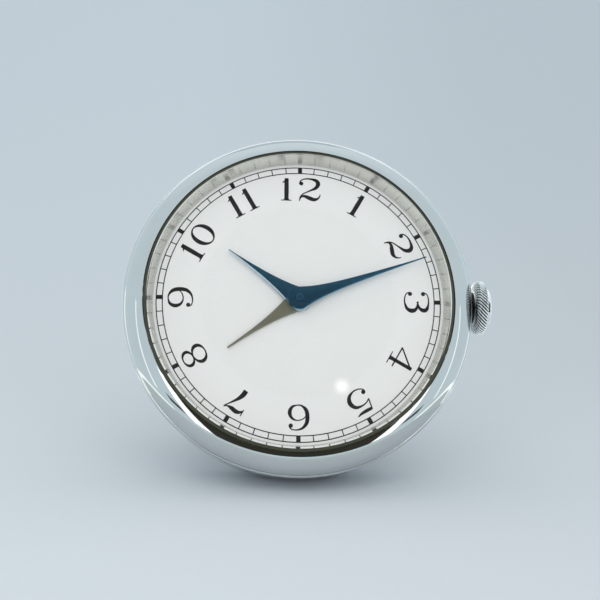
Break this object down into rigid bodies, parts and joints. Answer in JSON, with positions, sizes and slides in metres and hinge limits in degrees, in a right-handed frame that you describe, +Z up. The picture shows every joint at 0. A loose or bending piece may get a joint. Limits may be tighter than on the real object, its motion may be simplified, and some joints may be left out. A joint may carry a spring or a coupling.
{
  "type": "alarm desk clock",
  "caption": "Round alarm clock with a polished bezel, domed crystal, blued hands, knurled side crown and a fold-out rear strut that leans it back on a desk.",
  "frame": {"origin": "middle of the flat under the case, on the surface that the clock stands on", "axes": "+Z up, dial facing -Y and leaning back, +X towards 3 o'clock and the crown"},
  "size_m": [0.074, 0.0546, 0.0682],
  "materials": {
    "polished_steel": "mirror polished",
    "brushed_steel": "brushed",
    "movement_steel": "satin",
    "movement_brass": "satin",
    "copper_winding": "enamelled wire",
    "blued_steel": "polished and blued",
    "alarm_grey": "satin",
    "dial_white": "satin, with a fine hobnail middle",
    "crystal_glass": "polished",
    "gasket_olive": "matte",
    "black_rubber": "matte",
    "board_green": "solder mask",
    "black_plastic": "moulded"
  },
  "bodies": {
    "case": {"case_body": "polished_steel", "bezel": "polished_steel", "crystal": "crystal_glass", "crystal_gasket": "gasket_olive", "rehaut_ring": "polished_steel", "dial": "dial_white", "movement_ring": "black_plastic", "front_plate": "movement_brass", "rear_plate": "movement_brass", "pillar_1": "movement_brass", "pillar_2": "movement_brass", "pillar_3": "movement_brass", "pillar_4": "movement_brass", "minute_wheel_stud": "movement_steel", "setting_wheel_stud": "movement_steel", "stator": "movement_steel", "coil": "copper_winding", "circuit_board": "board_green", "battery_tray": "black_plastic", "battery_contact": "movement_brass", "battery": "movement_steel", "buzzer": "movement_brass", "case_back": "brushed_steel", "back_gasket": "black_rubber", "back_screw_1": "polished_steel", "back_screw_2": "polished_steel", "back_screw_3": "polished_steel", "back_screw_4": "polished_steel", "crown_tube": "movement_steel", "strut_bracket": "brushed_steel", "bracket_screw_1": "polished_steel", "bracket_screw_2": "polished_steel", "hinge_pin": "polished_steel"},
    "minute": {"cannon_arbor": "movement_steel", "minute_hand": "blued_steel", "hand_cap": "polished_steel"},
    "hour": {"hour_wheel": "movement_brass", "hour_hand": "blued_steel"},
    "alarm": {"alarm_wheel": "movement_brass", "alarm_hand": "alarm_grey"},
    "minute_wheel": {"minute_wheel": "movement_brass"},
    "setting_wheel": {"setting_wheel": "movement_brass"},
    "stem_detent": {"stem_detent": "movement_steel"},
    "crown": {"crown": "polished_steel", "stem": "movement_steel", "clutch_pinion": "movement_steel"},
    "rotor": {"rotor": "movement_steel"},
    "hatch": {"battery_hatch": "brushed_steel"},
    "switch": {"alarm_switch": "black_plastic"},
    "strut": {"strut": "brushed_steel", "strut_foot": "black_rubber"}
  },
  "joints": [
    {"name": "minute_hand_turn", "type": "hinge", "parent": "case", "child": "minute", "pos_m": [0, -0.00005, 0.03589], "axis": [0, 0.9272, -0.3746], "continuous": true},
    {"name": "hour_hand_turn", "type": "hinge", "parent": "case", "child": "hour", "pos_m": [0, -0.00005, 0.03589], "axis": [0, 0.9272, -0.3746], "continuous": true},
    {"name": "minute_wheel_turn", "type": "hinge", "parent": "case", "child": "minute_wheel", "pos_m": [0, -0.00274, 0.02921], "axis": [0, 0.9272, -0.3746], "continuous": true},
    {"name": "crown_pull", "type": "slide", "parent": "case", "child": "stem_detent", "axis": [1, 0, 0], "range_m": [0, 0.0015]},
    {"name": "crown_turn", "type": "hinge", "parent": "stem_detent", "child": "crown", "pos_m": [0, 0.00292, 0.03469], "axis": [1, 0, 0], "continuous": true},
    {"name": "setting_wheel_turn", "type": "hinge", "parent": "case", "child": "setting_wheel", "pos_m": [0.01, -0.00005, 0.03589], "axis": [0, 0.9272, -0.3746], "continuous": true},
    {"name": "alarm_hand_turn", "type": "hinge", "parent": "case", "child": "alarm", "pos_m": [0, -0.00005, 0.03589], "axis": [0, 0.9272, -0.3746], "continuous": true},
    {"name": "rotor_turn", "type": "hinge", "parent": "case", "child": "rotor", "pos_m": [-0.004, 0.00314, 0.04377], "axis": [0, 0.9272, -0.3746], "continuous": true},
    {"name": "hatch_turn", "type": "hinge", "parent": "case", "child": "hatch", "pos_m": [0, 0.01271, 0.02049], "axis": [0, 0.9272, -0.3746], "range_deg": [0, 50]},
    {"name": "alarm_switch_slide", "type": "slide", "parent": "case", "child": "switch", "axis": [0, 0.3746, 0.9272], "range_m": [0, 0.003]},
    {"name": "strut_fold", "type": "hinge", "parent": "case", "child": "strut", "pos_m": [0, 0.02403, 0.04342], "axis": [-1, 0, 0], "range_deg": [0, 40]}
  ],
  "couplings": [
    {"joint": "hour_hand_turn", "follows": "minute_hand_turn", "ratio": 0.083333},
    {"joint": "minute_wheel_turn", "follows": "minute_hand_turn", "ratio": -0.33333},
    {"joint": "setting_wheel_turn", "follows": "crown_turn", "ratio": 0.4},
    {"joint": "alarm_hand_turn", "follows": "crown_turn", "ratio": -0.13333}
  ]
}
